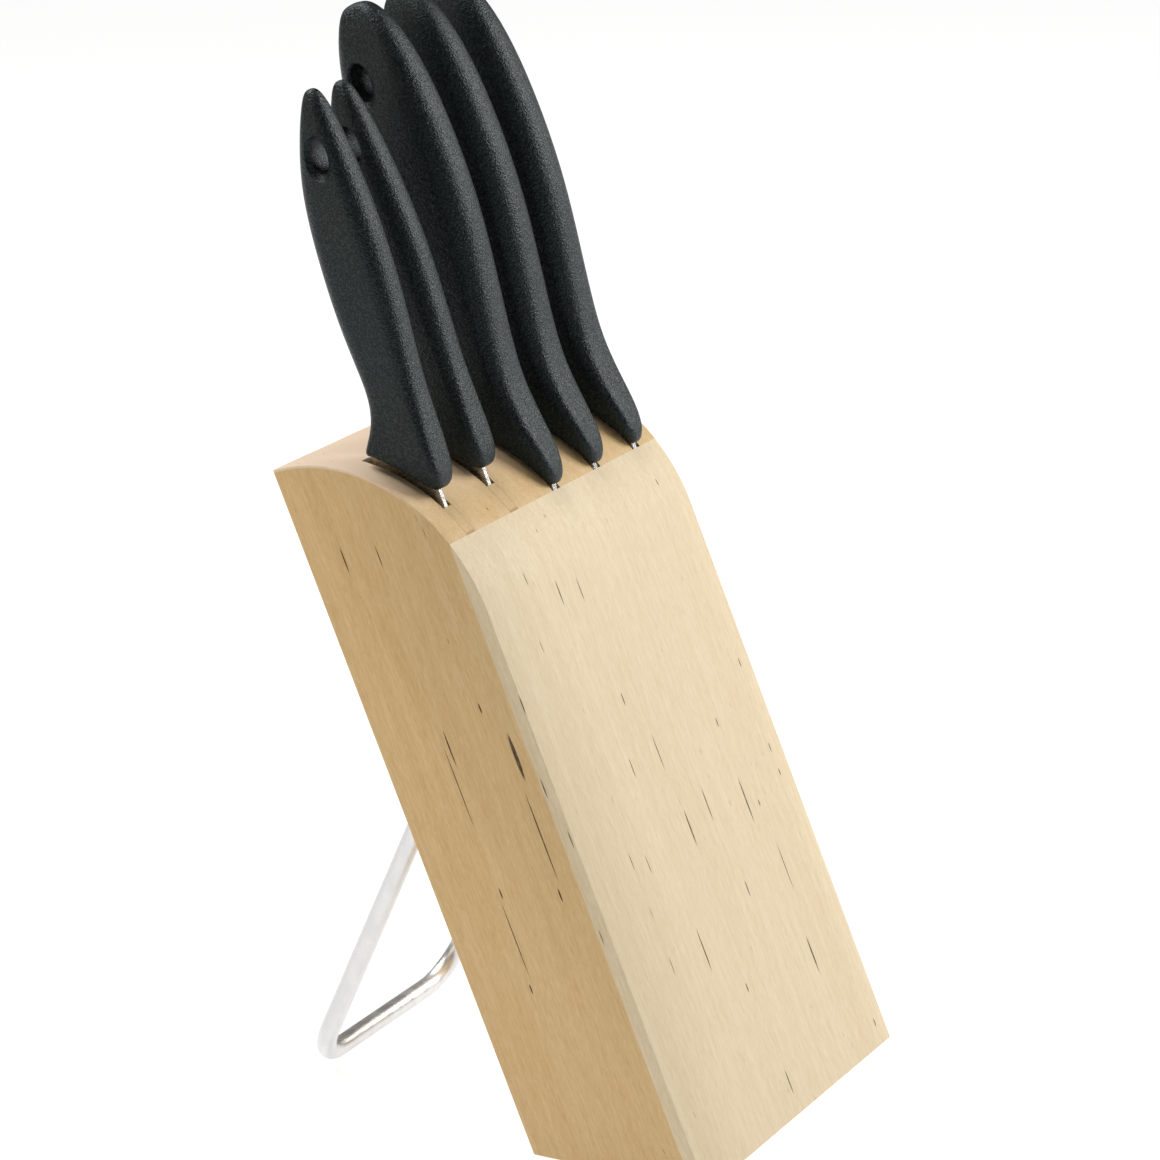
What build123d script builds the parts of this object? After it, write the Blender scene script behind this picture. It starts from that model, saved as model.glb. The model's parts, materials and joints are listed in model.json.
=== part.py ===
from build123d import *
from math import acos, cos, degrees, radians, sin, tan
import os

# Slanted knife block with five knives and a bent-wire stand.
#
# The block is described on its own leaning axes: "depth" runs from the front face to the back
# face, and "height" runs up along the slots. The foot is cut level, so the block stands leaning
# back on its wire stand. +X is across the block, -Y is the front and +Z is up. The origin is on
# the ground, under the middle of the object.

# ---- Driving dimensions, in millimetres and degrees ----

lean = 23.3
setback = 76.8              # from the block's front foot edge to the origin

block_width = 130.0
block_depth = 52.0
front_height = 178.7        # front face, from the foot to where the crown starts
crown_depth = 53.2          # the crown is a quarter of an ellipse
crown_rise = 58.6

front_board = 4.0
front_joints = (0.28, 0.93)             # glue lines in the front board, as parts of the width
core_joints = (19.5, 50.0, 78.0, 101.0)  # glue lines in the core, from the left side

slot_pitch = 26.0
slot_width = 4.8
slot_back = 48.0            # depth of the three large slots' back wall
small_slot_back = 29.0      # depth of the two small slots' back wall
filler_depth = 4.5          # strips that make the first two slots shallower

rod_diameter = 6.0
leg_spread = 82.0
stand_reach = 145.0         # front foot edge to the middle of the floor bar
leg_slope = 0.4412          # forward travel for each millimetre up
socket_depth = 15.0
socket_clearance = 0.05
rod_standoff = 8.0          # straight rod outside the back face, before the leg bends down
socket_bend = 9.0
floor_bend = 14.0

blade_gap = 0.3             # spine to the front end of its slot
blunt_edge = 0.35           # thickness left at the cutting edge

# ---- Frame helpers ----

lean_sine = sin(radians(lean))
lean_cosine = cos(radians(lean))
into_block = (0, lean_cosine, -lean_sine)
up_slot = (0, lean_sine, lean_cosine)
foot_rise = block_depth * tan(radians(lean))
left_side = -block_width / 2
slots = [slot_pitch * (place - 2) for place in range(5)]


def side_plane(across):
    """Plane of the side view, with x as depth and y as height."""
    return Plane(origin=(across, -setback, 0), x_dir=into_block, z_dir=(1, 0, 0))


def front_plane(across):
    """Plane of the front view, with x across the block and y as height."""
    toward_front = tuple(-part for part in into_block)
    return Plane(origin=(across, -setback, 0), x_dir=(1, 0, 0), z_dir=toward_front)


def section_plane(across):
    """Plane square to the slots, with x across the block and y as depth."""
    return Plane(origin=(across, -setback, 0), x_dir=(1, 0, 0), z_dir=up_slot)


def save(part, name):
    """Label a finished piece and write its file."""
    part.label = name
    export_step(part, f"parts/{name}.step")


def block_outline(plane, nearest, farthest):
    """Side outline of the block on a plane, kept between two depths."""
    crown_end = degrees(acos((block_depth - crown_depth) / crown_depth))
    with BuildSketch(plane) as outline:
        with BuildLine():
            crown = EllipticalCenterArc(
                (crown_depth, front_height),
                crown_depth,
                crown_rise,
                start_angle=crown_end,
                arc_size=180 - crown_end,
            )
            Polyline(crown @ 1, (0, 0), (block_depth, foot_rise), crown @ 0)
        make_face()
        with Locations(((nearest + farthest) / 2, front_height)):
            Rectangle(farthest - nearest, 4 * front_height, mode=Mode.INTERSECT)
    return outline.sketch


# ---- Wooden pieces ----


def slot_prism(slot, back):
    """The space of one slot up to its back wall, longer than the block."""
    with BuildPart() as prism:
        with BuildSketch(section_plane(slot)):
            with Locations((0, (front_board + back) / 2)):
                Rectangle(slot_width, back - front_board)
        extrude(amount=2 * front_height, both=True)
    return prism.part


def leg_socket(side):
    """Blind hole for one end of the wire stand."""
    with BuildPart() as socket:
        with BuildSketch(front_plane(side * leg_spread / 2).offset(-block_depth)):
            with Locations((0, socket_height)):
                Circle(rod_diameter / 2 + socket_clearance)
        extrude(amount=socket_depth)
    return socket.part


def stave(left, right, nearest, farthest, cuts=()):
    """A glued strip of the block between two distances across and two depths."""
    outline = block_outline(side_plane(left), nearest, farthest)
    with BuildPart() as strip:
        extrude(outline, amount=right - left)
        for cut in cuts:
            add(cut, mode=Mode.SUBTRACT)
    return strip.part


# The leg's line runs up and forward from the floor bar, and meets the socket's axis at the bend.
bend_depth = block_depth + rod_standoff
leg_foot = stand_reach + leg_slope * rod_diameter / 2
bend_rise = (leg_foot * lean_cosine - bend_depth) / (leg_slope * lean_cosine + lean_sine)
bend_reach = leg_foot - leg_slope * bend_rise
socket_height = bend_reach * lean_sine + bend_rise * lean_cosine

os.makedirs("parts", exist_ok=True)

core_edges = [left_side] + [left_side + joint for joint in core_joints] + [-left_side]
core_cuts = [slot_prism(slot, small_slot_back) for slot in slots[:2]]
core_cuts += [slot_prism(slot, slot_back) for slot in slots[2:]]
core_cuts += [leg_socket(-1), leg_socket(1)]
for number, (left, right) in enumerate(zip(core_edges, core_edges[1:]), start=1):
    core_stave = stave(left, right, front_board, block_depth, core_cuts)
    save(core_stave, f"core_stave_{number}")

front_edges = [left_side] + [left_side + block_width * joint for joint in front_joints]
front_edges.append(-left_side)
for number, (left, right) in enumerate(zip(front_edges, front_edges[1:]), start=1):
    save(stave(left, right, 0, front_board), f"front_stave_{number}")

for number, slot in enumerate(slots[:2], start=1):
    strip_back = front_board + filler_depth
    strip = stave(slot - slot_width / 2, slot + slot_width / 2, front_board, strip_back)
    save(strip, f"filler_strip_{number}")

# ---- Wire stand ----


def from_block(across, depth, height):
    """Point on the leaning axes, as a point in the object's frame."""
    back = depth * lean_cosine + height * lean_sine
    rise = height * lean_cosine - depth * lean_sine
    return (across, back - setback, rise)


half_spread = leg_spread / 2
with BuildPart() as wire_stand:
    with BuildLine() as rod_line:
        FilletPolyline(
            from_block(-half_spread, block_depth - socket_depth, socket_height),
            from_block(-half_spread, bend_depth, socket_height),
            (-half_spread, stand_reach - setback, rod_diameter / 2),
            (half_spread, stand_reach - setback, rod_diameter / 2),
            from_block(half_spread, bend_depth, socket_height),
            from_block(half_spread, block_depth - socket_depth, socket_height),
            radius=[socket_bend, floor_bend, floor_bend, socket_bend],
        )
    rod_start = rod_line.line
    with BuildSketch(Plane(origin=rod_start @ 0, z_dir=rod_start % 0)):
        Circle(rod_diameter / 2)
    sweep()
save(wire_stand.part, "wire_stand")

# ---- Knives ----


def blade(knife, slot):
    """A blade and its tang: a side outline, ground to a wedge towards the cutting edge."""
    heel = knife["heel"]
    edge = knife["spine"] + knife["width"]
    tip = knife["tip"]
    belly = tip + knife["belly"]
    tang_left, tang_right = knife["tang"]
    shoulder = heel + knife["shoulder"]
    spine_end = knife["grip"]["tip"] + knife["spine_end"]
    with BuildPart() as piece:
        with BuildSketch(side_plane(slot)):
            with BuildLine():
                cutting = Spline(
                    (edge, belly),
                    (knife["point"], tip),
                    tangents=((0, -1), (-1, -0.6)),
                )
                Polyline(
                    cutting @ 1,
                    (knife["spine"], tip + knife["clip"]),
                    (knife["spine"], spine_end),
                    (tang_left, spine_end + tang_ramp),
                    (tang_left, knife["tang_top"]),
                    (tang_right, knife["tang_top"]),
                    (tang_right, shoulder + shoulder_ramp),
                    (edge - knife["shoulder"], shoulder),
                    (edge, heel),
                    cutting @ 0,
                )
            make_face()
            if knife["scallops"]:
                first = belly + scallop_pitch
                count = int((heel - first) / scallop_pitch)
                rows = [(edge + scallop_lift, first + place * scallop_pitch) for place in range(count)]
                with Locations(*rows):
                    Circle(scallop_radius, mode=Mode.SUBTRACT)
        extrude(amount=knife["thickness"] / 2, both=True)
        with BuildSketch(section_plane(slot)):
            with BuildLine():
                Polyline(
                    (-knife["thickness"] / 2, 0),
                    (knife["thickness"] / 2, 0),
                    (knife["thickness"] / 2, tang_right),
                    (blunt_edge / 2, edge),
                    (-blunt_edge / 2, edge),
                    (-knife["thickness"] / 2, tang_right),
                    close=True,
                )
            make_face()
        extrude(amount=3 * front_height, both=True, mode=Mode.INTERSECT)
    return piece.part


def handle(knife, slot, blade_solid):
    """A moulded grip, lofted from the front end to the butt, pierced, and closed on its tang."""
    grip = knife["grip"]
    with BuildPart() as piece:
        for reach, spine_side, finger_side, width in grip["sections"]:
            with BuildSketch(section_plane(slot).offset(grip["tip"] + reach)):
                with Locations((0, (spine_side + finger_side) / 2 + knife["rake"] * reach)):
                    depth = finger_side - spine_side
                    RectangleRounded(width, depth, corner_share * min(width, depth))
        loft()
        with BuildSketch(side_plane(slot).offset(-grip_clear)):
            with BuildLine():
                placed = [(depth, grip["tip"] + reach) for depth, reach in grip["front_end"]]
                front_end = Spline(*placed)
                Polyline(
                    front_end @ 1,
                    (2 * block_depth, grip["tip"] + 2 * grip_clear),
                    (2 * block_depth, grip["tip"] - grip_clear),
                    (-grip_clear, grip["tip"] - grip_clear),
                    (-grip_clear, grip["tip"] + grip["front_end"][0][1]),
                    front_end @ 0,
                )
            make_face()
        extrude(amount=2 * grip_clear, mode=Mode.SUBTRACT)
        with BuildSketch(side_plane(slot)):
            hole_depth, hole_reach = grip["hole_place"]
            with Locations((hole_depth + knife["rake"] * hole_reach, grip["tip"] + hole_reach)):
                Ellipse(*grip["hole_size"])
        extrude(amount=grip_clear, both=True, mode=Mode.SUBTRACT)
        add(blade_solid, mode=Mode.SUBTRACT)
    return piece.part


corner_share = 0.42         # corner radius of a grip's section, as part of its smaller side
grip_clear = 20.0           # more than half a grip's width
tang_ramp = 7.0             # rise of the slope from the spine to the hidden tang
shoulder_ramp = 4.0
scallop_pitch = 7.0
scallop_radius = 4.2
scallop_lift = 3.0

# A section is (reach from the tip, depth of the spine side, depth of the finger side, width).
# A knife's rake is how far its grip leans back for each millimetre of reach, loose in its slot.
# The front end is cut to a hollow curve that follows the block's crown.
small_grip = {
    "tip": 215.4,
    "sections": [
        (-2, 6.0, 28.2, 9.5),
        (6, 4.5, 28.2, 12.2),
        (12, 4.1, 28.0, 12.5),
        (17, 3.8, 26.9, 12.4),
        (21, 3.5, 23.5, 12.1),
        (26, 3.2, 20.4, 11.9),
        (33, 2.6, 18.9, 11.9),
        (42, 1.4, 19.6, 12.3),
        (55, -0.4, 20.1, 13.1),
        (70, -1.9, 19.4, 13.6),
        (94, -1.9, 16.2, 13.0),
        (108.6, -1.1, 11.2, 10.4),
        (117, 0.3, 7.3, 6.5),
        (121, 2.4, 4.8, 2.2),
    ],
    "front_end": [(4.1, 10), (4.8, 4), (8.2, 0), (11, 3.4), (15.4, 8.6), (23, 15), (29, 19)],
    "hole_place": (5.6, 101.6),
    "hole_size": (4.4, 7.0),
}
large_grip = {
    "tip": 201.9,
    "sections": [
        (-3, 1.2, 36.0, 7.0),
        (6, 0.6, 36.0, 9.6),
        (13, 1.5, 36.0, 12.6),
        (23, 3.1, 35.5, 15.4),
        (34, 3.8, 32.5, 16.6),
        (42, 3.1, 28.6, 17.2),
        (55, 0.9, 27.0, 17.6),
        (75, -2.5, 26.8, 18.0),
        (103, -4.6, 25.8, 18.0),
        (125, -3.9, 23.8, 17.0),
        (138, -1.8, 21.6, 14.6),
        (147, 1.0, 18.2, 10.2),
        (152, 4.5, 15.8, 6.0),
        (154.6, 8.0, 13.0, 2.6),
    ],
    "front_end": [(1.2, 8), (1.4, 3.5), (3.6, 0), (6, 5.2), (10, 12.5), (20, 24), (30, 30.8), (38, 36)],
    "hole_place": (13.6, 131.0),
    "hole_size": (4.6, 7.4),
}

deep_spine = front_board + filler_depth + blade_gap
near_spine = front_board + blade_gap
small_tang = {
    "grip": small_grip, "tang": (9.8, 14.6), "tang_top": 290.0, "spine_end": 17.0, "shoulder": 5.0,
}
large_tang = {
    "grip": large_grip, "tang": (8.8, 18.0), "tang_top": 312.0, "spine_end": 9.0, "shoulder": 5.0,
}
knives = {
    "paring": small_tang | {
        "spine": deep_spine, "width": 18.0, "thickness": 1.6, "heel": 228.0,
        "tip": 122.0, "belly": 34.0, "point": 12.0, "clip": 8.0, "scallops": False, "rake": -0.012,
    },
    "utility": small_tang | {
        "spine": deep_spine, "width": 17.0, "thickness": 1.6, "heel": 228.0,
        "tip": 108.0, "belly": 30.0, "point": 14.0, "clip": 6.0, "scallops": True, "rake": 0.04,
    },
    "cooks": large_tang | {
        "spine": near_spine, "width": 41.0, "thickness": 2.2, "heel": 228.0,
        "tip": 22.0, "belly": 110.0, "point": 7.0, "clip": 8.0, "scallops": False, "rake": 0.0,
    },
    "carving": large_tang | {
        "spine": near_spine, "width": 29.0, "thickness": 2.0, "heel": 226.0,
        "tip": 18.0, "belly": 60.0, "point": 9.0, "clip": 14.0, "scallops": False, "rake": 0.0,
    },
    "bread": large_tang | {
        "spine": near_spine, "width": 30.0, "thickness": 2.0, "heel": 226.0,
        "tip": 16.0, "belly": 22.0, "point": 16.0, "clip": 10.0, "scallops": True, "rake": 0.0,
    },
}

for slot, (name, knife) in zip(slots, knives.items()):
    blade_solid = blade(knife, slot)
    save(blade_solid, f"{name}_blade")
    save(handle(knife, slot, blade_solid), f"{name}_handle")
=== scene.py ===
"""Looks of the slanted knife block: birch staves, moulded black grips, ground blades, wire stand."""

import json
import math

import bpy
from mathutils import Matrix, Vector


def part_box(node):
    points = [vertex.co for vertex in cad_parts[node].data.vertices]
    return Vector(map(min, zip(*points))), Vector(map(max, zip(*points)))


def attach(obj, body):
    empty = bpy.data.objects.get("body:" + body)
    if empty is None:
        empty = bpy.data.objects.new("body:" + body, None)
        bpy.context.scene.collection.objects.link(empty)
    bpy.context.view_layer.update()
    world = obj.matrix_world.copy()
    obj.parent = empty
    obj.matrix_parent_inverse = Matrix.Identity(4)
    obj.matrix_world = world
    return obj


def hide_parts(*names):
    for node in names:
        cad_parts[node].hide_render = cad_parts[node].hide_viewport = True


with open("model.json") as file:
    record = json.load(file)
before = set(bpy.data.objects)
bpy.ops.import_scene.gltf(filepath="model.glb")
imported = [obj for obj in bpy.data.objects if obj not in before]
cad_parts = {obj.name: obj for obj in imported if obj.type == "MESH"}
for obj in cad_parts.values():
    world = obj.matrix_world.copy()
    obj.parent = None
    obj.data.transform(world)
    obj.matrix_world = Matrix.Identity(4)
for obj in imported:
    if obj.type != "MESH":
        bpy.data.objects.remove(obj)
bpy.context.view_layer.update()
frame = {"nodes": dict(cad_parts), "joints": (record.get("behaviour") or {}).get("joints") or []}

# ---- The block's leaning axes: across, depth from the front face, height along the slots ----

slide = Vector(frame["joints"][0]["axis"])
lean = math.atan2(slide.y, slide.z)
front_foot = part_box("front_stave_1")[0].y
leaning = Matrix.Translation((0, front_foot, 0)) @ Matrix.Rotation(-lean, 4, "X")
to_leaning = leaning.inverted()

mm = 0.001
block_depth = 52 * mm
front_height = 178.7 * mm
crown_depth = 53.2 * mm
crown_rise = 58.6 * mm
front_board = 4 * mm
slot_width = 4.8 * mm
left_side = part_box("core_stave_1")[0].x
right_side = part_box("core_stave_5")[1].x


def middle_across(node):
    """Middle of a CAD node from side to side."""
    low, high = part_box(node)
    return (low.x + high.x) / 2


# ---- Modelling helpers ----


def start_clean():
    """Leave edit mode with nothing selected."""
    if bpy.context.object and bpy.context.object.mode != "OBJECT":
        bpy.ops.object.mode_set(mode="OBJECT")
    bpy.ops.object.select_all(action="DESELECT")


def work_on(piece):
    """Select one piece alone and make it active."""
    start_clean()
    piece.select_set(True)
    bpy.context.view_layer.objects.active = piece


def take_primitive(name):
    """Name the primitive that was just added."""
    piece = bpy.context.object
    piece.name = name
    piece.data.name = name
    return piece


def settle(piece, place=Matrix.Identity(4)):
    """Put the piece in its place and leave its object at the origin, unturned and unscaled."""
    work_on(piece)
    piece.matrix_world = place @ piece.matrix_world
    bpy.ops.object.transform_apply(location=True, rotation=True, scale=True)


def finish_modifier(piece, kind, **settings):
    """Add a modifier with its settings and apply it."""
    work_on(piece)
    modifier = piece.modifiers.new(kind.title(), kind)
    for setting, value in settings.items():
        setattr(modifier, setting, value)
    bpy.ops.object.modifier_apply(modifier=modifier.name)


def carve(piece, cutter):
    """Cut one piece out of another and throw the cutter away."""
    finish_modifier(piece, "BOOLEAN", object=cutter, operation="DIFFERENCE", solver="EXACT")
    bpy.data.objects.remove(cutter)


def outward_normals(piece):
    """Make every face point outwards."""
    work_on(piece)
    bpy.ops.object.mode_set(mode="EDIT")
    bpy.ops.mesh.select_all(action="SELECT")
    bpy.ops.mesh.normals_make_consistent(inside=False)
    bpy.ops.object.mode_set(mode="OBJECT")


# ---- Node helpers ----


def new_material(name):
    """A material with an empty node tree and its principled shader."""
    material = bpy.data.materials.new(name)
    material.use_nodes = True
    tree = material.node_tree
    shader = tree.nodes["Principled BSDF"]
    return material, tree, shader


def node(tree, kind, inputs=(), **settings):
    """Add a node. Inputs are (socket, value or output socket) pairs."""
    made = tree.nodes.new(kind)
    for setting, value in settings.items():
        setattr(made, setting, value)
    for socket, value in inputs:
        if isinstance(value, bpy.types.NodeSocket):
            tree.links.new(value, made.inputs[socket])
        else:
            made.inputs[socket].default_value = value
    return made


def sums(tree, operation, first, second=0.0, third=0.0, clamp=False):
    """Result of one sum on numbers or sockets."""
    pairs = [(0, first), (1, second), (2, third)]
    return node(tree, "ShaderNodeMath", pairs, operation=operation, use_clamp=clamp).outputs[0]


def vector_sums(tree, operation, first, second=(0, 0, 0), result=0):
    """Result of one sum on vectors."""
    pairs = [(0, first), (1, second)]
    return node(tree, "ShaderNodeVectorMath", pairs, operation=operation).outputs[result]


def ramp(tree, factor, low, high, start=0.0, end=1.0):
    """Smooth change from start to end as the factor goes from low to high."""
    pairs = [("Value", factor), ("From Min", low), ("From Max", high)]
    pairs += [("To Min", start), ("To Max", end)]
    made = node(tree, "ShaderNodeMapRange", pairs, interpolation_type="SMOOTHSTEP")
    return made.outputs["Result"]


def blend(tree, factor, first, second, way="MIX"):
    """Mix of two colours."""
    made = node(tree, "ShaderNodeMix", data_type="RGBA", blend_type=way, clamp_factor=True)
    for socket, value in zip((made.inputs[0], made.inputs[6], made.inputs[7]), (factor, first, second)):
        if isinstance(value, bpy.types.NodeSocket):
            tree.links.new(value, socket)
        else:
            socket.default_value = value
    return made.outputs[2]


def stretched_noise(tree, place, grain, detail=3.0, roughness=0.5, distortion=0.0):
    """Noise whose patches have the given sizes in metres along the three axes."""
    scaled = vector_sums(tree, "MULTIPLY", place, tuple(1 / size for size in grain))
    pairs = [("Vector", scaled), ("Scale", 1.0), ("Detail", detail), ("Roughness", roughness)]
    pairs.append(("Distortion", distortion))
    return node(tree, "ShaderNodeTexNoise", pairs).outputs["Fac"]


# ---- Birch ----


def leaning_place(tree):
    """Across, depth and height of the shaded point, in metres."""
    coordinates = node(tree, "ShaderNodeTexCoord").outputs["Object"]
    pairs = [("Vector", coordinates), ("Location", to_leaning.translation), ("Rotation", (lean, 0, 0))]
    return node(tree, "ShaderNodeMapping", pairs, vector_type="POINT").outputs["Vector"]


def gum_streak(tree, place, centre, half_length, half_width):
    """A thin dark streak along the grain, tapered to both ends."""
    away = vector_sums(tree, "SUBTRACT", place, centre)
    spread = (1 / half_width, 1 / half_width, 1 / half_length)
    reach = vector_sums(tree, "LENGTH", vector_sums(tree, "MULTIPLY", away, spread), result=1)
    return ramp(tree, reach, 1.0, 0.62)


def scattered_flecks(tree, place, cell, half_length, half_width, keep):
    """Short dark flecks along the grain, scattered through the wood."""
    scaled = vector_sums(tree, "MULTIPLY", place, tuple(1 / size for size in cell))
    pairs = [("Vector", scaled), ("Scale", 1.0), ("Randomness", 1.0)]
    seeds = node(tree, "ShaderNodeTexVoronoi", pairs, voronoi_dimensions="3D", feature="F1")
    chance = node(tree, "ShaderNodeSeparateColor", [("Color", seeds.outputs["Color"])])
    away = vector_sums(tree, "SUBTRACT", scaled, seeds.outputs["Position"])
    spread = (cell[0] / half_width, cell[1] / half_width, cell[2] / half_length)
    reach = vector_sums(tree, "LENGTH", vector_sums(tree, "MULTIPLY", away, spread), result=1)
    size = ramp(tree, chance.outputs[0], 0.0, 1.0, 0.35, 1.1)
    inside = ramp(tree, sums(tree, "DIVIDE", reach, size), 1.0, 0.5)
    kept = sums(tree, "LESS_THAN", chance.outputs[1], keep)
    return sums(tree, "MULTIPLY", inside, kept)


def lit_crown_top(tree, place):
    """Painted light on the top of the crown, where the sanded end grain shows: paler towards the top, fading
    out towards its front.
    """
    inside = vector_sums(tree, "SUBTRACT", place, (0, crown_depth, front_height))
    shares = vector_sums(tree, "MULTIPLY", inside, (0, 1 / crown_depth, 1 / crown_rise))
    on_crown = ramp(tree, vector_sums(tree, "LENGTH", shares, result=1), 0.980, 0.992)
    height = node(tree, "ShaderNodeSeparateXYZ", [("Vector", place)]).outputs[2]
    return sums(tree, "MULTIPLY", on_crown, ramp(tree, height, 204 * mm, 234 * mm))


def birch(name, pale, dark, shift, figure=1.0, streaks=(), seams=None):
    """Oiled birch: long fibres, faint figure, flecks, the streaks of this one board, and painted light on
    the top of the crown.

    Seams are the middle and the half width of a strip glued between two walls.
    """
    material, tree, shader = new_material(name)
    place = leaning_place(tree)
    own = vector_sums(tree, "ADD", place, shift)
    wander = stretched_noise(tree, own, (30 * mm, 30 * mm, 60 * mm), 2.0)
    drift = node(tree, "ShaderNodeCombineXYZ", [("X", sums(tree, "MULTIPLY", wander, 5 * mm))]).outputs[0]
    wavy = vector_sums(tree, "ADD", own, drift)
    broad = stretched_noise(tree, wavy, (16 * mm, 16 * mm, 190 * mm), 3.0, 0.55)
    bands = stretched_noise(tree, wavy, (2.2 * mm, 4 * mm, 90 * mm), 3.0, 0.6)
    fibre = stretched_noise(tree, wavy, (0.5 * mm, 0.5 * mm, 8 * mm), 4.0, 0.65)
    pores = stretched_noise(tree, own, (0.28 * mm, 0.28 * mm, 2.6 * mm), 2.0, 0.6)
    curl = stretched_noise(tree, own, (1.2 * mm, 1.2 * mm, 3.4 * mm), 3.0, 0.65, 0.6)
    depth_of_tone = sums(tree, "MULTIPLY_ADD", sums(tree, "SUBTRACT", broad, 0.5), 0.4 * figure, 0.45)
    for pattern, weight in ((bands, 0.8), (fibre, 1.35), (pores, 0.95), (curl, 0.6)):
        centred = sums(tree, "SUBTRACT", pattern, 0.5)
        depth_of_tone = sums(tree, "MULTIPLY_ADD", centred, weight * figure, depth_of_tone)
    colour = blend(tree, sums(tree, "MAXIMUM", depth_of_tone, 0.0, clamp=True), pale, dark)
    ring_line = ramp(tree, sums(tree, "ABSOLUTE", sums(tree, "SUBTRACT", bands, 0.5)), 0.010, 0.0)
    colour = blend(tree, sums(tree, "MULTIPLY", ring_line, ring_line_weight), colour, line_brown)
    # Painted light: the top of the crown is painted paler, as if lit from above.
    colour = blend(tree, sums(tree, "MULTIPLY", lit_crown_top(tree, place), painted_top_light_weight), colour, painted_top_light)
    cell = (3.6 * mm, 3.6 * mm, 19 * mm)
    short = scattered_flecks(tree, own, cell, 3.6 * mm, 0.27 * mm, 0.72)
    tiny_cell = (2.6 * mm, 2.6 * mm, 11 * mm)
    tiny = scattered_flecks(tree, own, tiny_cell, 1.3 * mm, 0.15 * mm, 0.6)
    dark_mask = sums(tree, "MAXIMUM", short, sums(tree, "MULTIPLY", tiny, 0.55))
    ragged = ramp(tree, pores, 0.3, 0.5, 0.65, 1.0)
    for centre, half_length, half_width in streaks:
        streak = gum_streak(tree, place, centre, half_length, half_width)
        dark_mask = sums(tree, "MAXIMUM", dark_mask, streak)
    dark_mask = sums(tree, "MULTIPLY", dark_mask, ragged)
    colour = blend(tree, sums(tree, "MULTIPLY", dark_mask, fleck_weight), colour, fleck_brown)
    if seams:
        middle, half_strip = seams
        axes = node(tree, "ShaderNodeSeparateXYZ", [("Vector", place)])
        beside = sums(tree, "ABSOLUTE", sums(tree, "SUBTRACT", axes.outputs[0], middle))
        side_seam = ramp(tree, beside, half_strip - 0.42 * mm, half_strip - 0.12 * mm)
        front_seam = ramp(tree, axes.outputs[1], front_board + 0.45 * mm, front_board + 0.15 * mm)
        seam = sums(tree, "MAXIMUM", side_seam, front_seam)
        colour = blend(tree, sums(tree, "MULTIPLY", seam, seam_weight), colour, line_brown)
    tree.links.new(colour, shader.inputs["Base Color"])
    rough = ramp(tree, fibre, 0.25, 0.75, 0.46, 0.62)
    tree.links.new(rough, shader.inputs["Roughness"])
    shader.inputs["Specular IOR Level"].default_value = 0.32
    relief = sums(tree, "MULTIPLY_ADD", fibre, 0.6, sums(tree, "MULTIPLY", pores, 0.5))
    relief = sums(tree, "SUBTRACT", relief, sums(tree, "MULTIPLY", dark_mask, 1.2))
    pairs = [("Strength", 0.35), ("Distance", 0.12 * mm), ("Height", relief)]
    bump = node(tree, "ShaderNodeBump", pairs)
    tree.links.new(bump.outputs[0], shader.inputs["Normal"])
    return material


line_brown = (0.40, 0.235, 0.105, 1)
fleck_brown = (0.055, 0.024, 0.010, 1)
# Painted light: this pale tint on the top of the crown stands in for light falling there.
painted_top_light = (0.90, 0.77, 0.66, 1)
ring_line_weight = 0.04
painted_top_light_weight = 0.6
fleck_weight = 0.96
seam_weight = 0.7

board_pale = (0.85, 0.725, 0.52, 1)
board_dark = (0.68, 0.525, 0.315, 1)
# Core colours: a tanner wood, and partly painted shade, darkened for the dim left side face.
core_pale_shaded = (0.735, 0.535, 0.275, 1)
core_dark_shaded = (0.575, 0.365, 0.150, 1)

# ---- Black spark-textured plastic ----


def grip_plastic(name):
    """Black moulded plastic with a fine spark-eroded texture, polished a little by hands."""
    material, tree, shader = new_material(name)
    place = node(tree, "ShaderNodeTexCoord").outputs["Object"]
    grain = stretched_noise(tree, place, (0.65 * mm,) * 3, 2.0, 0.65)
    coarse = stretched_noise(tree, place, (1.6 * mm,) * 3, 2.0, 0.5)
    worn = stretched_noise(tree, place, (26 * mm,) * 3, 2.0, 0.5)
    colour = blend(tree, ramp(tree, grain, 0.42, 0.66), plastic_pit, plastic_peak)
    tree.links.new(colour, shader.inputs["Base Color"])
    rough = sums(tree, "MULTIPLY_ADD", worn, -0.10, ramp(tree, grain, 0.3, 0.7, 0.48, 0.35))
    tree.links.new(rough, shader.inputs["Roughness"])
    shader.inputs["Specular IOR Level"].default_value = 0.32
    shader.inputs["Specular Tint"].default_value = (0.82, 0.98, 1.0, 1)
    height = sums(tree, "MULTIPLY_ADD", coarse, 0.45, grain)
    pairs = [("Strength", 1.0), ("Distance", 0.32 * mm), ("Height", height)]
    bump = node(tree, "ShaderNodeBump", pairs)
    tree.links.new(bump.outputs[0], shader.inputs["Normal"])
    return material


plastic_pit = (0.0010, 0.0020, 0.0020, 1)
plastic_peak = (0.0190, 0.0270, 0.0280, 1)

# ---- Metals ----


def blade_steel(name):
    """Ground stainless steel with fine lines from the spine to the edge."""
    material, tree, shader = new_material(name)
    place = leaning_place(tree)
    lines = stretched_noise(tree, place, (1.5 * mm, 22 * mm, 0.22 * mm), 3.0, 0.6)
    smear = stretched_noise(tree, place, (14 * mm, 14 * mm, 20 * mm), 2.0, 0.5)
    colour = blend(tree, lines, (0.46, 0.465, 0.47, 1), (0.60, 0.60, 0.595, 1))
    tree.links.new(colour, shader.inputs["Base Color"])
    shader.inputs["Metallic"].default_value = 1.0
    rough = sums(tree, "MULTIPLY_ADD", smear, 0.10, ramp(tree, lines, 0.3, 0.7, 0.14, 0.26))
    tree.links.new(rough, shader.inputs["Roughness"])
    pairs = [("Strength", 0.18), ("Distance", 0.05 * mm), ("Height", lines)]
    bump = node(tree, "ShaderNodeBump", pairs)
    tree.links.new(bump.outputs[0], shader.inputs["Normal"])
    return material


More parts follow.
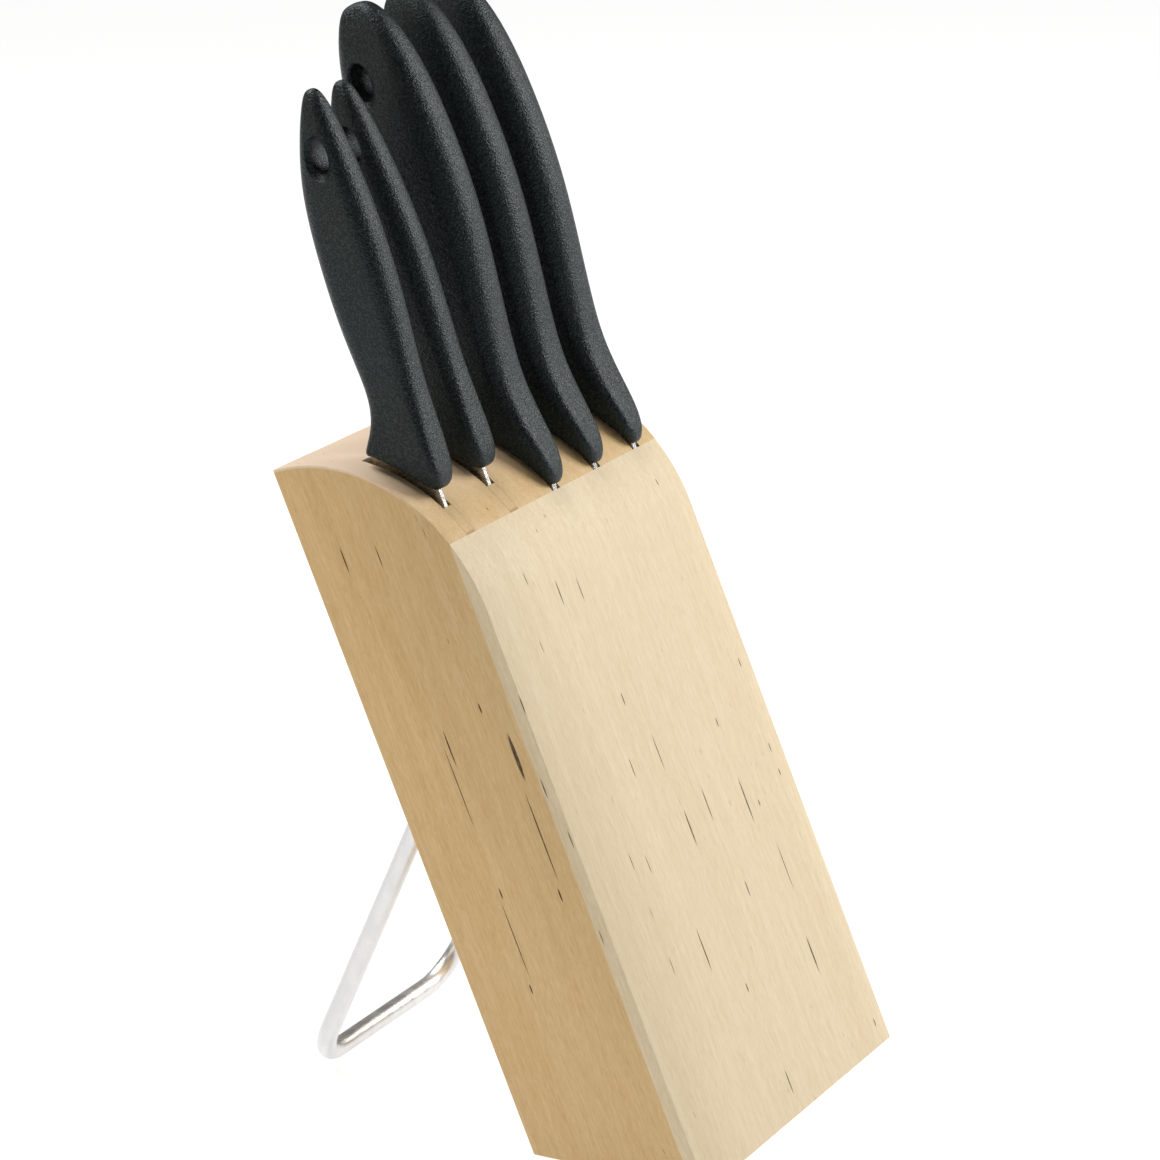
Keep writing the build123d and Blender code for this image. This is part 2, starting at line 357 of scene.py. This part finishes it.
def satin_wire(name):
    """Drawn steel wire with a dull bright plating and faint handling marks."""
    material, tree, shader = new_material(name)
    place = node(tree, "ShaderNodeTexCoord").outputs["Object"]
    mottle = stretched_noise(tree, place, (5 * mm, 5 * mm, 9 * mm), 4.0, 0.6)
    grain = stretched_noise(tree, place, (0.3 * mm,) * 3, 2.0, 0.6)
    colour = blend(tree, ramp(tree, mottle, 0.3, 0.7), (0.70, 0.705, 0.71, 1), (0.80, 0.80, 0.80, 1))
    tree.links.new(colour, shader.inputs["Base Color"])
    shader.inputs["Metallic"].default_value = 0.85
    rough = ramp(tree, mottle, 0.3, 0.7, 0.30, 0.42)
    tree.links.new(rough, shader.inputs["Roughness"])
    pairs = [("Strength", 0.12), ("Distance", 0.05 * mm), ("Height", grain)]
    bump = node(tree, "ShaderNodeBump", pairs)
    tree.links.new(bump.outputs[0], shader.inputs["Normal"])
    return material


# ---- Grips ----

# A section is (reach from the tip, spine side, finger side, width, corner radius), in millimetres.
# A hole is (depth, reach, half depth, half reach, the grip's width there).
small_grip = {
    "tip": 215.4,
    "crown_gap": (2.6, 3.4),
    "sections": [
        (0.15, 7.4, 28.0, 3.2, 1.3),
        (0.9, 6.0, 28.0, 6.8, 1.8),
        (2.6, 5.0, 28.1, 9.6, 2.2),
        (5.6, 4.4, 28.2, 11.7, 2.6),
        (11, 4.0, 28.0, 12.7, 2.9),
        (17, 3.7, 26.6, 12.7, 3.1),
        (21, 3.4, 23.2, 12.4, 3.4),
        (26, 3.0, 20.3, 12.2, 3.8),
        (33, 2.4, 19.0, 12.2, 4.2),
        (42, 1.3, 19.5, 12.6, 4.6),
        (55, -0.5, 20.1, 13.3, 5.2),
        (70, -1.9, 19.4, 13.7, 5.6),
        (84, -2.2, 18.1, 13.5, 5.6),
        (96, -1.8, 15.8, 12.8, 5.3),
        (106, -1.2, 12.2, 11.2, 4.7),
        (113, -0.4, 9.1, 8.8, 3.7),
        (118, 0.6, 6.6, 5.8, 2.4),
        (120.4, 1.9, 4.9, 2.8, 1.2),
    ],
    "hole": (5.6, 101.6, 4.5, 7.1, 11.9),
}
large_grip = {
    "tip": 201.9,
    "crown_gap": (0.8, 1.4),
    "sections": [
        (0.15, 3.4, 36.0, 2.8, 1.2),
        (0.9, 2.2, 36.0, 5.2, 1.6),
        (2.8, 1.2, 36.0, 8.0, 2.0),
        (6.5, 0.7, 36.0, 10.6, 2.3),
        (13, 1.4, 36.0, 13.2, 2.7),
        (20, 2.7, 35.8, 15.2, 3.4),
        (27, 3.5, 34.8, 16.3, 4.2),
        (34, 3.7, 32.3, 16.9, 5.0),
        (42, 3.0, 28.8, 17.3, 5.8),
        (55, 0.9, 27.0, 17.7, 6.6),
        (75, -2.5, 26.8, 18.0, 7.2),
        (90, -4.1, 26.4, 18.0, 7.4),
        (106, -4.6, 25.5, 17.8, 7.4),
        (123, -4.0, 23.9, 17.0, 7.1),
        (136, -2.2, 21.8, 15.0, 6.3),
        (145, 0.3, 19.0, 11.6, 4.9),
        (150.8, 3.4, 16.4, 7.6, 3.2),
        (153.9, 6.6, 13.8, 3.8, 1.7),
    ],
    "hole": (13.6, 131.0, 4.7, 7.5, 15.6),
}
corner_steps = 5
rim_flare = 1.2             # the hanging hole's rim opens over this depth
rim_step = 1.5              # and by this much all round
skin_size = 0.46            # mesh size of a finished grip
rounding_passes = 18        # smoothing passes that round its cut edges
crease_angle = 34


def section_ring(grip, section):
    """One rounded outline, square to the grip, ready to be bridged to the next."""
    reach, spine_side, finger_side, width, corner = section
    centre = (0, (spine_side + finger_side) / 2 * mm, (grip["tip"] + reach) * mm)
    start_clean()
    bpy.ops.mesh.primitive_plane_add(size=1, location=centre)
    ring = take_primitive("section_ring")
    bpy.ops.object.mode_set(mode="EDIT")
    bpy.ops.mesh.select_all(action="SELECT")
    sides = (width * mm, (finger_side - spine_side) * mm, 1)
    bpy.ops.transform.resize(value=sides, center_override=centre)
    bpy.ops.mesh.bevel(affect="VERTICES", offset=corner * mm, segments=corner_steps)
    bpy.ops.object.mode_set(mode="OBJECT")
    return ring


def grip_blank(name, grip):
    """The grip without its hollow front end and its hole: rounded sections bridged up to the butt."""
    rings = [section_ring(grip, section) for section in grip["sections"]]
    inner = rings[1:-1]
    for ring in inner:
        work_on(ring)
        bpy.ops.object.mode_set(mode="EDIT")
        bpy.ops.mesh.select_all(action="SELECT")
        bpy.ops.mesh.delete(type="ONLY_FACE")
        bpy.ops.object.mode_set(mode="OBJECT")
    start_clean()
    for ring in rings:
        ring.select_set(True)
    bpy.context.view_layer.objects.active = rings[0]
    bpy.ops.object.join()
    blank = take_primitive(name)
    bpy.ops.object.mode_set(mode="EDIT")
    bpy.ops.mesh.select_mode(type="EDGE")
    bpy.ops.mesh.select_all(action="SELECT")
    bpy.ops.mesh.bridge_edge_loops()
    bpy.ops.object.mode_set(mode="OBJECT")
    settle(blank)
    outward_normals(blank)
    finish_modifier(blank, "SUBSURF", levels=2, render_levels=2)
    return blank


def crown_cutter(gap):
    """A copy of the block's crown, a little larger, that hollows the front end of a grip."""
    start_clean()
    bpy.ops.mesh.primitive_cylinder_add(vertices=256, radius=1, depth=60 * mm)
    cutter = take_primitive("crown_cutter")
    bpy.ops.object.mode_set(mode="EDIT")
    bpy.ops.mesh.select_all(action="SELECT")
    bpy.ops.transform.rotate(value=math.pi / 2, orient_axis="Y", center_override=(0, 0, 0))
    radii = (1, crown_depth + gap[0] * mm, crown_rise + gap[1] * mm)
    bpy.ops.transform.resize(value=radii, center_override=(0, 0, 0))
    bpy.ops.transform.translate(value=(0, crown_depth, front_height))
    bpy.ops.object.mode_set(mode="OBJECT")
    return cutter


def hole_cutter(grip):
    """The hanging hole: a straight oval shaft that opens out at both faces."""
    depth, reach, half_depth, half_reach, width = grip["hole"]
    shaft = (half_depth - rim_step, half_reach - rim_step)
    start_clean()
    bpy.ops.mesh.primitive_cylinder_add(vertices=96, radius=1, depth=(width - 2 * rim_flare) * mm)
    cutter = take_primitive("hole_cutter")
    bpy.ops.object.mode_set(mode="EDIT")
    bpy.ops.mesh.select_all(action="SELECT")
    bpy.ops.transform.rotate(value=math.pi / 2, orient_axis="Y", center_override=(0, 0, 0))
    bpy.ops.transform.resize(value=(1, shaft[0] * mm, shaft[1] * mm), center_override=(0, 0, 0))
    for side in (-1, 1):
        bpy.ops.mesh.select_all(action="DESELECT")
        bpy.ops.object.mode_set(mode="OBJECT")
        for face in cutter.data.polygons:
            face.select = face.normal.x * side > 0.9
        bpy.ops.object.mode_set(mode="EDIT")
        across, half_sizes = width / 2 - rim_flare, shaft
        for next_across, narrowing in ((width / 2, 0), (width / 2 + rim_flare, -rim_step)):
            step = (side * (next_across - across) * mm, 0, 0)
            next_sizes = (half_depth - narrowing, half_reach - narrowing)
            growth = (1, next_sizes[0] / half_sizes[0], next_sizes[1] / half_sizes[1])
            bpy.ops.mesh.extrude_region_move(TRANSFORM_OT_translate={"value": step})
            bpy.ops.transform.resize(value=growth, center_override=(side * next_across * mm, 0, 0))
            across, half_sizes = next_across, next_sizes
    bpy.ops.mesh.select_all(action="SELECT")
    bpy.ops.transform.translate(value=(0, depth * mm, (grip["tip"] + reach) * mm))
    bpy.ops.object.mode_set(mode="OBJECT")
    return cutter


def rake_back(piece, grip, rake):
    """Lean an upright grip back from its tip, by so much for each millimetre of reach."""
    pivot = grip["tip"] * mm
    piece.data.transform(Matrix(((1, 0, 0, 0), (0, 1, rake, -rake * pivot), (0, 0, 1, 0), (0, 0, 0, 1))))


def moulded_grip(name, grip):
    """The finished grip of one size, over the middle of the block."""
    piece = grip_blank(name, grip)
    carve(piece, crown_cutter(grip["crown_gap"]))
    finish_modifier(piece, "REMESH", mode="VOXEL", voxel_size=skin_size * mm)
    finish_modifier(piece, "SMOOTH", factor=0.5, iterations=rounding_passes)
    carve(piece, hole_cutter(grip))
    work_on(piece)
    bpy.ops.object.shade_smooth_by_angle(angle=math.radians(crease_angle))
    return piece


black_plastic = grip_plastic("spark_textured_black_plastic")
# A knife's grip size, and how far its grip leans back for each millimetre of reach.
knives = {
    "paring": ("small", -0.012),
    "utility": ("small", 0.04),
    "cooks": ("large", 0.0),
    "carving": ("large", 0.0),
    "bread": ("large", 0.0),
}
grips = {"small": small_grip, "large": large_grip}
masters = {size: moulded_grip(f"{size}_grip", grip) for size, grip in grips.items()}
for knife, (size, rake) in knives.items():
    piece = masters[size].copy()
    piece.data = masters[size].data.copy()
    piece.name = f"{knife}_grip"
    piece.data.name = piece.name
    bpy.context.scene.collection.objects.link(piece)
    rake_back(piece, grips[size], rake)
    settle(piece, Matrix.Translation((middle_across(f"{knife}_handle"), 0, 0)) @ leaning)
    piece.data.materials.append(black_plastic)
    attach(piece, f"{knife}_knife")
    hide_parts(f"{knife}_handle")
for master in masters.values():
    bpy.data.objects.remove(master)

# ---- Wooden pieces ----


def soften_arrises(node_name, width=0.45 * mm):
    """A copy of a stave whose outer edges are sanded round. Glued edges stay sharp."""
    source = frame["nodes"][node_name]
    piece = bpy.data.objects.new(f"{node_name}_sanded", source.data.copy())
    bpy.context.scene.collection.objects.link(piece)
    work_on(piece)
    bpy.ops.mesh.customdata_custom_splitnormals_clear()
    bpy.ops.object.mode_set(mode="EDIT")
    bpy.ops.mesh.select_all(action="SELECT")
    bpy.ops.mesh.remove_doubles(threshold=0.002 * mm)
    bpy.ops.mesh.dissolve_limited(angle_limit=math.radians(0.3))
    bpy.ops.mesh.select_all(action="DESELECT")
    bpy.ops.mesh.select_mode(type="EDGE")
    bpy.ops.mesh.edges_select_sharp(sharpness=math.radians(30))
    bpy.ops.object.mode_set(mode="OBJECT")
    for face in piece.data.polygons:
        face.select = False
    near = 0.02 * mm
    places = [to_leaning @ vertex.co for vertex in piece.data.vertices]
    for edge in piece.data.edges:
        ends = [places[index] for index in edge.vertices]
        at_side = all(min(abs(end.x - left_side), abs(end.x - right_side)) < near for end in ends)
        at_front = all(abs(end.y) < near for end in ends)
        at_back = all(abs(end.y - block_depth) < near for end in ends)
        glued = all(abs(end.y - front_board) < near for end in ends)
        crosswise = abs(ends[0].x - ends[1].x) > 1 * mm
        outer = at_side or ((at_front or at_back) and crosswise)
        edge.select = edge.select and outer and not glued
    bpy.ops.object.mode_set(mode="EDIT")
    bpy.ops.mesh.bevel(offset=width, segments=2, affect="EDGES", clamp_overlap=True)
    bpy.ops.object.mode_set(mode="OBJECT")
    bpy.ops.object.shade_smooth_by_angle(angle=math.radians(28))
    return piece


def finish_stave(node_name, material, sanded=True):
    """Give one stave its wood, with sanded outer edges where it has any."""
    piece = soften_arrises(node_name) if sanded else frame["nodes"][node_name]
    piece.data.materials.clear()
    piece.data.materials.append(material)
    if sanded:
        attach(piece, "block")
        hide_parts(node_name)


# Streaks of the boards in view: (place across or in depth, height, half length, half width), in mm.
left_streaks = [
    (8.3, 137, 8.5, 0.78),
    (9.9, 113, 16, 0.27),
    (11.0, 95, 2.4, 0.36),
    (14.0, 153.5, 1.9, 0.34),
    (28.7, 145, 6.5, 0.30),
    (30.5, 133, 15, 0.19),
    (30.0, 100, 2.0, 0.30),
    (31.0, 86, 14, 0.20),
    (32.0, 70.5, 1.8, 0.34),
    (39.6, 206, 4.8, 0.28),
    (28.0, 204, 4.0, 0.20),
]
front_streaks = [
    (39.8, 174, 4.6, 0.34),
    (51.2, 172, 4.4, 0.28),
    (52.0, 137, 2.4, 0.35),
    (43.3, 118, 3.6, 0.30),
    (60.0, 117.5, 6.4, 0.28),
    (62.0, 92.8, 6.6, 0.45),
    (75.8, 96, 6.2, 0.33),
    (98.0, 90, 8.4, 0.45),
    (98.0, 115.5, 1.8, 0.33),
    (80.5, 67, 3.0, 0.33),
    (106.0, 65.5, 8.6, 0.26),
    (45.0, 59.5, 7.8, 0.40),
    (103.0, 37.6, 7.0, 0.50),
    (60.3, 42, 1.7, 0.38),
    (63.8, 10.3, 4.6, 0.35),
    (104.8, 87, 1.2, 0.35),
]
edge_streaks = [
    (123.4, 127.5, 1.8, 0.34),
    (122.6, 99.6, 1.8, 0.34),
    (122.9, 91.3, 1.4, 0.32),
    (123.8, 7.3, 1.6, 0.36),
]


def on_left_face(streaks):
    """Streaks of the left face, on the leaning axes and in metres."""
    return [
        ((left_side, depth * mm, height * mm), half_length * mm, half_width * mm)
        for depth, height, half_length, half_width in streaks
    ]


def on_front_face(streaks):
    """Streaks of the front face, on the leaning axes and in metres."""
    return [
        ((left_side + across * mm, 0, height * mm), half_length * mm, half_width * mm)
        for across, height, half_length, half_width in streaks
    ]


streaks_of = {
    "core_stave_1": on_left_face(left_streaks),
    "front_stave_2": on_front_face(front_streaks),
    "front_stave_3": on_front_face(edge_streaks),
}
for number in range(1, 6):
    shift = (0.31 * number, 0.17 * number, 0.43 * number)
    node_name = f"core_stave_{number}"
    streaks = streaks_of.get(node_name, ())
    # The core staves' darker colour is partly painted shade for the left side face.
    material = birch(f"core_birch_shaded_{number}", core_pale_shaded, core_dark_shaded, shift, 1.0, streaks)
    finish_stave(node_name, material)

for number in range(1, 4):
    shift = (0.23 * number, 0.61 * number, 0.37 * number)
    node_name = f"front_stave_{number}"
    streaks = streaks_of.get(node_name, ())
    material = birch(f"front_birch_{number}", board_pale, board_dark, shift, 0.8, streaks)
    finish_stave(node_name, material)

for number in range(1, 3):
    node_name = f"filler_strip_{number}"
    seams = (middle_across(node_name), slot_width / 2)
    material = birch(f"filler_birch_{number}", core_pale_shaded, core_dark_shaded, (number, 0.2, 0.7), 1.0, (), seams)
    finish_stave(node_name, material, sanded=False)

# ---- Metal pieces ----

steel = blade_steel("ground_stainless_steel")
for knife in knives:
    blade = frame["nodes"][f"{knife}_blade"]
    blade.data.materials.clear()
    blade.data.materials.append(steel)

stand = frame["nodes"]["wire_stand"]
stand.data.materials.clear()
stand.data.materials.append(satin_wire("satin_plated_wire"))

# ---- Studio ----


def studio_floor():
    """A wide white floor, lit evenly so that the object stands in clear white."""
    start_clean()
    bpy.ops.mesh.primitive_plane_add(size=40, location=(0, 0, 0))
    floor = take_primitive("studio_floor")
    material, tree, shader = new_material("white_floor")
    shader.inputs["Base Color"].default_value = (0.25, 0.25, 0.25, 1)
    shader.inputs["Roughness"].default_value = 0.9
    shader.inputs["Specular IOR Level"].default_value = 0.0
    shader.inputs["Emission Color"].default_value = (1, 1, 1, 1)
    shader.inputs["Emission Strength"].default_value = 0.90
    floor.data.materials.append(material)


def soft_box(name, place, size, power, colour):
    """A square studio light aimed at the middle of the object."""
    light = bpy.data.lights.new(name, "AREA")
    light.shape = "SQUARE"
    light.size = size
    light.energy = power
    light.color = colour
    lamp = bpy.data.objects.new(name, light)
    lamp.location = place
    aim = Vector((0, 0, 0.16)) - lamp.location
    lamp.rotation_euler = aim.to_track_quat("-Z", "Y").to_euler()
    lamp.visible_camera = False
    bpy.context.scene.collection.objects.link(lamp)


def studio_sky(strength):
    """White to the camera, and a dim even light on the object."""
    world = bpy.data.worlds.new("studio_white")
    world.use_nodes = True
    tree = world.node_tree
    background = tree.nodes["Background"]
    seen = node(tree, "ShaderNodeLightPath").outputs["Is Camera Ray"]
    level = sums(tree, "MULTIPLY_ADD", seen, 1.2 - strength, strength)
    background.inputs["Color"].default_value = (1, 1, 1, 1)
    tree.links.new(level, background.inputs["Strength"])
    bpy.context.scene.world = world


studio_floor()
studio_sky(0.06)
soft_box("key_right_front", (1.05, -1.0, 0.95), 0.9, 25, (1.0, 0.985, 0.96))
soft_box("fill_left_back", (-1.3, 0.7, 0.5), 0.9, 3, (1.0, 0.86, 0.64))
soft_box("top_back", (0.0, 0.7, 1.3), 0.9, 19, (1.0, 0.98, 0.96))

# ---- Camera ----

camera_data = bpy.data.cameras.new("studio_camera")
camera_data.lens = 142.4
camera_data.sensor_width = 36
camera = bpy.data.objects.new("studio_camera", camera_data)
camera.location = (-1.1542, -0.6059, 0.5558)
camera.rotation_euler = (math.radians(90 - 17.06), 0, math.radians(-62.36))
bpy.context.scene.collection.objects.link(camera)
bpy.context.scene.camera = camera
bpy.context.scene.view_settings.view_transform = "Standard"
